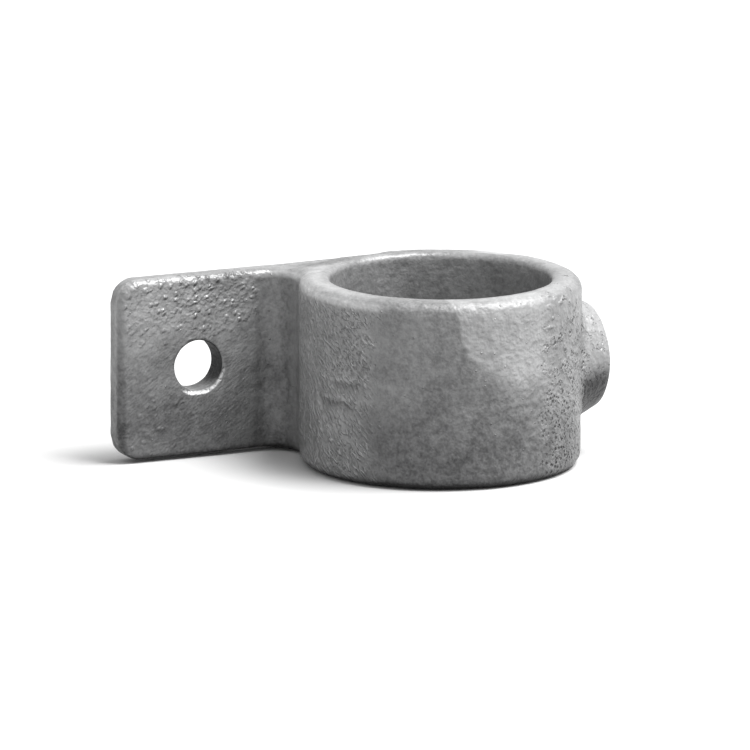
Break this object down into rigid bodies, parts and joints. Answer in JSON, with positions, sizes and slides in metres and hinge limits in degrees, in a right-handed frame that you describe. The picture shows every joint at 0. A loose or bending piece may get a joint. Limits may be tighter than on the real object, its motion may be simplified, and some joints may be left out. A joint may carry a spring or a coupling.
{
  "type": "pipe clamp with panel lug",
  "caption": "Cast ring that slides over a tube, with a flat drilled lug for a fence panel and a boss whose socket set screw grips the tube.",
  "frame": {"origin": "middle of the tube bore, half way up the ring and level with the set screw", "axes": "+Z along the tube, -X towards the lug's free end, +X along the boss and the set screw, +Y out of the lug's back face"},
  "size_m": [0.1047, 0.0634, 0.0426],
  "materials": {
    "casting": "hot dip galvanised, coarse and mottled",
    "screw": "zinc coated, with turned ends"
  },
  "bodies": {
    "casting": {"clamp_body": "casting"},
    "screw": {"set_screw": "screw"}
  },
  "joints": [
    {"name": "screw_travel", "type": "slide", "parent": "casting", "child": "screw", "axis": [-1, 0, 0], "range_m": [-0.00267, 0.00267]}
  ]
}
